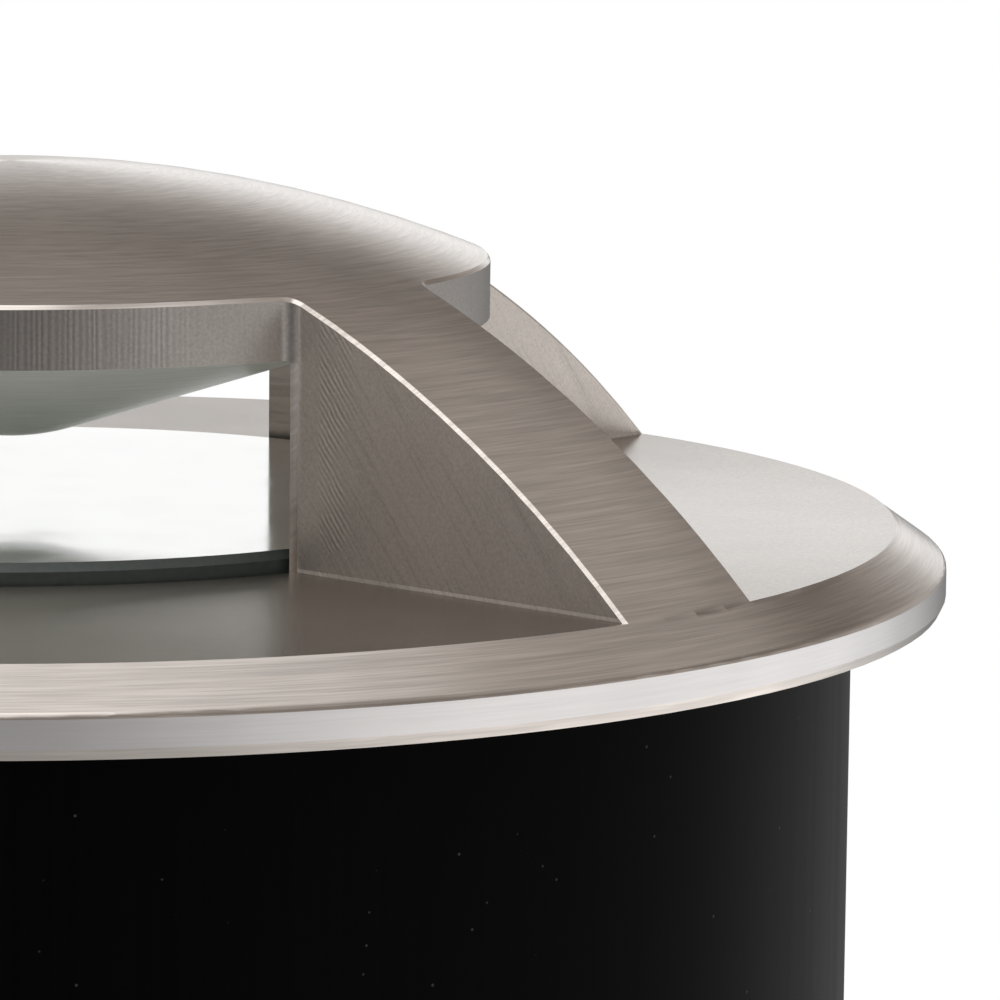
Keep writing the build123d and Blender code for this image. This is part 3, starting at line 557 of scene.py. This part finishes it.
level = node("Mix", data_type="FLOAT", sockets={
    "Factor": path.outputs["Is Glossy Ray"], "A": 1.0, "B": mirrored})
seen = node("Math", path.outputs["Is Camera Ray"], path.outputs["Is Glossy Ray"], operation="MAXIMUM")
seen = node("Math", seen, path.outputs["Is Transmission Ray"], operation="MAXIMUM")
seen = node("Math", times(node, far, seen), path.outputs["Is Glossy Ray"], operation="MAXIMUM")
shader = node("MixShader", seen, node("BsdfDiffuse", linear("#f2f2f2")),
              node("Emission", linear("#ffffff"), level))
put_on(material, shader)
floor_mesh = bpy.data.meshes.new("floor")
corners = [(-floor_half, -floor_half), (floor_half, -floor_half), (floor_half, floor_half),
           (-floor_half, floor_half)]
floor_mesh.from_pydata([(*corner, floor_z) for corner in corners], [], [(0, 1, 2, 3)])
floor_mesh.materials.append(material)
floor = bpy.data.objects.new("floor", floor_mesh)
bpy.context.scene.collection.objects.link(floor)

# The world: a bright horizon behind, a dim room elsewhere, a pale ceiling, and a window at the
# left that lights the broken edges of the legs. To the camera it is white all round.
world = bpy.data.worlds.new("studio")
bpy.context.scene.world = world
world.use_nodes = True
world.node_tree.nodes.clear()
node = partial(add, world.node_tree)
direction = node("TexCoord").outputs["Generated"]
aside, behind, height = node("SeparateXYZ", direction).outputs
low = node("MapRange", height, 0.15, 0.56, 1.1, 0.33, interpolation_type="SMOOTHSTEP")
dimmest = node("MapRange", aside, -0.5, 0.3, 0.2, 0.5)
side = node("MapRange", behind, 0.87, 0.965, dimmest, 1.0, interpolation_type="SMOOTHSTEP")
side = node("Math", side, node("MapRange", height, 0.45, 0.6, 0.0, 1.0), operation="MAXIMUM")
high = node("MapRange", height, 0.8, 1.0, 0.0, 0.78, interpolation_type="SMOOTHSTEP")
right_side = times(node, node("MapRange", aside, 0.15, 0.45, 0.0, 0.2, interpolation_type="SMOOTHSTEP"),
                   node("MapRange", height, 0.45, 0.62, 0.0, 1.0))
window_turn = radians(-120)
window_rise = radians(55)
window_way = (cos(window_turn) * cos(window_rise), sin(window_turn) * cos(window_rise), sin(window_rise))
window = node("MapRange", node("VectorMath", direction, window_way, operation="DOT_PRODUCT"),
              0.86, 0.93, 0.0, 1.2, interpolation_type="SMOOTHSTEP")
mirrored = node("Math", node("Math", times(node, low, side), high, operation="ADD"), window, operation="ADD")
mirrored = node("Math", mirrored, right_side, operation="ADD")
path = node("LightPath")
level = node("Mix", data_type="FLOAT", sockets={
    "Factor": path.outputs["Is Glossy Ray"], "A": 0.8, "B": mirrored})
level = node("Math", level, path.outputs["Is Camera Ray"], operation="MAXIMUM")
tone = node("Mix", data_type="RGBA", sockets={
    "Factor": level, "A": linear("#ecdccf"), "B": linear("#ffffff")})
node("OutputWorld", node("Background", tone, level))

# The soft box gives the shadow on the floor, and isn't mirrored
soft_box_side = 0.5
soft_box_height = 0.55
lamp_data = bpy.data.lights.new("soft_box", "AREA")
lamp_data.shape = "RECTANGLE"
lamp_data.size = soft_box_side
lamp_data.size_y = soft_box_side
lamp_data.energy = 4.0
lamp = bpy.data.objects.new("soft_box", lamp_data)
lamp.location = (-0.12, 0.0, soft_box_height)
lamp.visible_glossy = False
bpy.context.scene.collection.objects.link(lamp)

# The camera stands just above the light, a foot away, and looks down on it by nine degrees
camera_distance = 294.461 * MM
camera_height_angle = radians(9.3234)
camera_turn = radians(-88.8474)
look_right = radians(4.834)
look_up = radians(0.8054)
camera_roll = radians(-0.1659)
lens_mm = 208.061

seat = camera_distance * Vector((cos(camera_turn) * cos(camera_height_angle),
                                 sin(camera_turn) * cos(camera_height_angle),
                                 sin(camera_height_angle)))
ahead = -seat.normalized()
right = ahead.cross(Vector((0, 0, 1))).normalized()
up = right.cross(ahead)
ahead, right = (cos(look_right) * ahead + sin(look_right) * right,
                cos(look_right) * right - sin(look_right) * ahead)
ahead, up = cos(look_up) * ahead + sin(look_up) * up, cos(look_up) * up - sin(look_up) * ahead
right, up = (cos(camera_roll) * right + sin(camera_roll) * up,
             cos(camera_roll) * up - sin(camera_roll) * right)

camera_data = bpy.data.cameras.new("camera")
camera_data.lens = lens_mm
camera_data.sensor_width = 36.0
camera_data.clip_start = 0.01
camera_data.clip_end = 50.0
camera = bpy.data.objects.new("camera", camera_data)
camera.matrix_world = Matrix.Translation(seat) @ Matrix((right, up, -ahead)).transposed().to_4x4()
bpy.context.scene.collection.objects.link(camera)
bpy.context.scene.camera = camera
bpy.context.scene.view_settings.view_transform = "Standard"
